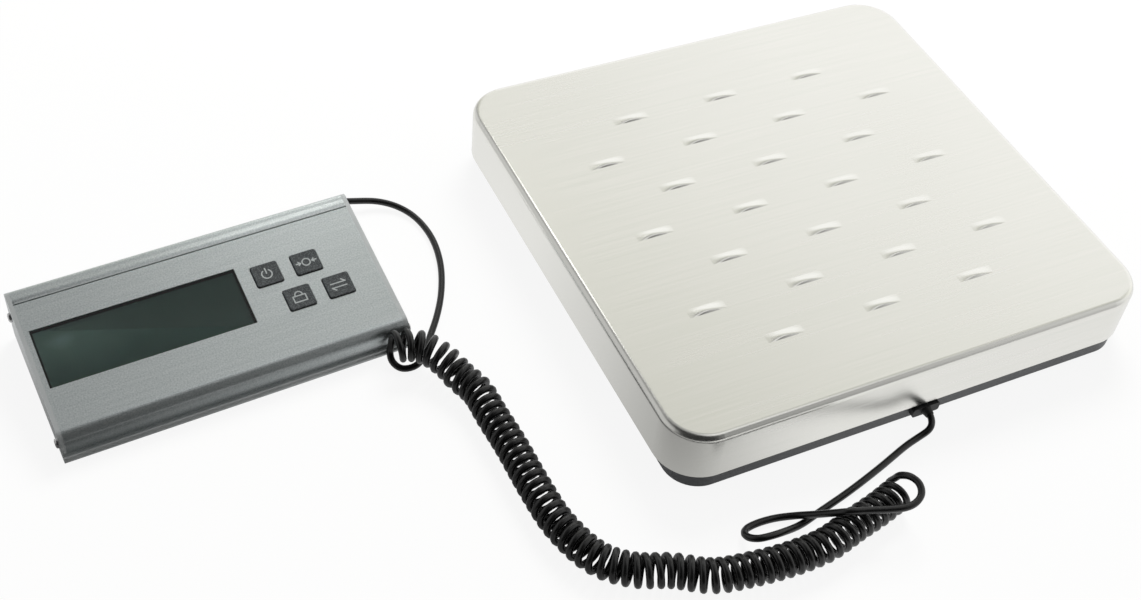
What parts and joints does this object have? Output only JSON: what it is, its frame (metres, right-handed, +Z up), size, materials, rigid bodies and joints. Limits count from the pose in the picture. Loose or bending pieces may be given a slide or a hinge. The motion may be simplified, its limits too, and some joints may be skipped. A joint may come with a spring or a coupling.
{
  "type": "digital platform scale",
  "caption": "Low square weighing platform with a pressed steel cover on corner load cells, and a separate sloping display unit with keys, joined by a curly cord",
  "frame": {"origin": "middle of the bottom of the box round everything but the cord, on the floor", "axes": "+X from the display unit to the platform, +Y to the back, +Z up"},
  "size_m": [0.6044, 0.3688, 0.0464],
  "materials": {
    "brushed_cover": "brushed",
    "grey_plastic": "matte",
    "steel": "satin",
    "black_rubber": "matte",
    "circuit_board": "satin",
    "satin_aluminium": "satin",
    "silver_plastic": "satin",
    "battery_sleeve": "gloss",
    "display_glass": "satin",
    "window": "clear",
    "key_plastic": "matte",
    "black_cord": "satin"
  },
  "bodies": {
    "base": {"base_tray": "grey_plastic", "load_cell_back_right": "steel", "load_cell_back_left": "steel", "load_cell_front_left": "steel", "load_cell_front_right": "steel", "load_cell_screws": "steel", "foot_back_right": "black_rubber", "foot_back_left": "black_rubber", "foot_front_left": "black_rubber", "foot_front_right": "black_rubber", "junction_board": "circuit_board", "junction_screws": "steel", "base_gland": "black_rubber", "display_housing": "satin_aluminium", "end_cap_left": "silver_plastic", "end_cap_right": "silver_plastic", "end_cap_screws": "steel", "display_base": "silver_plastic", "display_base_screws": "steel", "display_foot_back_right": "black_rubber", "display_foot_back_left": "black_rubber", "display_foot_front_left": "black_rubber", "display_foot_front_right": "black_rubber", "battery_1": "battery_sleeve", "battery_2": "battery_sleeve", "battery_3": "battery_sleeve", "battery_4": "battery_sleeve", "battery_contacts": "steel", "display_board": "circuit_board", "display_board_screws": "steel", "lcd_module": "display_glass", "lcd_window": "window", "key_domes": "steel", "display_gland": "black_rubber", "cord_display_lead": "black_cord", "cord_curly": "black_cord", "cord_platform_lead": "black_cord"},
    "platform_top": {"platform_cover": "brushed_cover", "platform_deck": "grey_plastic"},
    "door": {"battery_door": "silver_plastic"},
    "key_power_body": {"key_power": "key_plastic"},
    "key_zero_body": {"key_zero": "key_plastic"},
    "key_hold_body": {"key_hold": "key_plastic"},
    "key_unit_body": {"key_unit": "key_plastic"}
  },
  "joints": [
    {"name": "platform_sag", "type": "slide", "parent": "base", "child": "platform_top", "axis": [0, 0, -1], "range_m": [0, 0.00025], "stiffness_N_per_m": 200000, "springref_m": -0.0001},
    {"name": "battery_door_slide", "type": "slide", "parent": "base", "child": "door", "axis": [-0.0523, 0.9986, 0], "range_m": [0, 0.012]},
    {"name": "key_power_press", "type": "slide", "parent": "base", "child": "key_power_body", "axis": [-0.01, 0.1905, -0.9816], "range_m": [0, 0.0009], "stiffness_N_per_m": 800, "springref_m": -0.0003},
    {"name": "key_zero_press", "type": "slide", "parent": "base", "child": "key_zero_body", "axis": [-0.01, 0.1905, -0.9816], "range_m": [0, 0.0009], "stiffness_N_per_m": 800, "springref_m": -0.0003},
    {"name": "key_hold_press", "type": "slide", "parent": "base", "child": "key_hold_body", "axis": [-0.01, 0.1905, -0.9816], "range_m": [0, 0.0009], "stiffness_N_per_m": 800, "springref_m": -0.0003},
    {"name": "key_unit_press", "type": "slide", "parent": "base", "child": "key_unit_body", "axis": [-0.01, 0.1905, -0.9816], "range_m": [0, 0.0009], "stiffness_N_per_m": 800, "springref_m": -0.0003}
  ]
}
